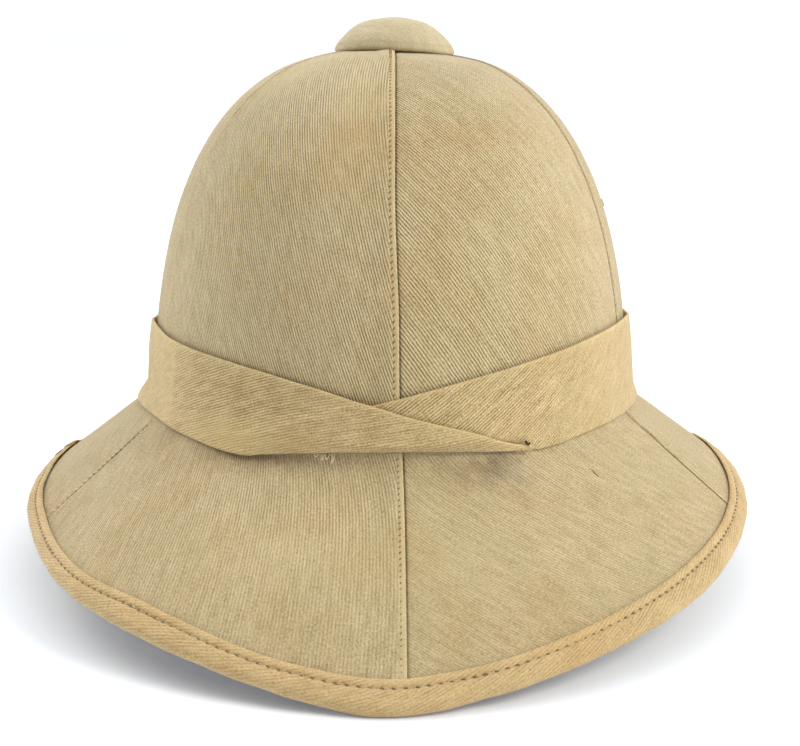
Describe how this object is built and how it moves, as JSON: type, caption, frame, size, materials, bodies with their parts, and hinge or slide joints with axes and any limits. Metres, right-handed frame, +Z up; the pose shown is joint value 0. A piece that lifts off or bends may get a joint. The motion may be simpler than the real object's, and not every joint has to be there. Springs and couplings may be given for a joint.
{
  "type": "pith helmet",
  "caption": "Tropical sun helmet: hollow pith shell covered with six gores of khaki twill, folded cloth band, bound brim edge and cloth-covered vent button.",
  "frame": {"origin": "on the surface the helmet rests on, under the middle of its outline", "axes": "+Z up, +Y towards the front of the helmet, so the long rear brim points to -Y, and +X to the right of someone who looks at its back"},
  "size_m": [0.283, 0.3556, 0.2043],
  "materials": {
    "cover_twill": "matte cotton twill",
    "band_twill": "matte cotton twill, folded",
    "edge_tape": "matte bias-cut cotton tape",
    "button_cloth": "matte cotton over a stiff cap",
    "pith": "bare plant pith",
    "tinned_metal": "dull tinned"
  },
  "bodies": {
    "root": {"pith_shell": "pith", "panel_rear_left": "cover_twill", "panel_rear_right": "cover_twill", "panel_side_right": "cover_twill", "panel_front_right": "cover_twill", "panel_front_left": "cover_twill", "panel_side_left": "cover_twill", "puggaree": "band_twill", "brim_binding": "edge_tape", "vent_button": "button_cloth", "vent_post": "tinned_metal"}
  },
  "joints": []
}
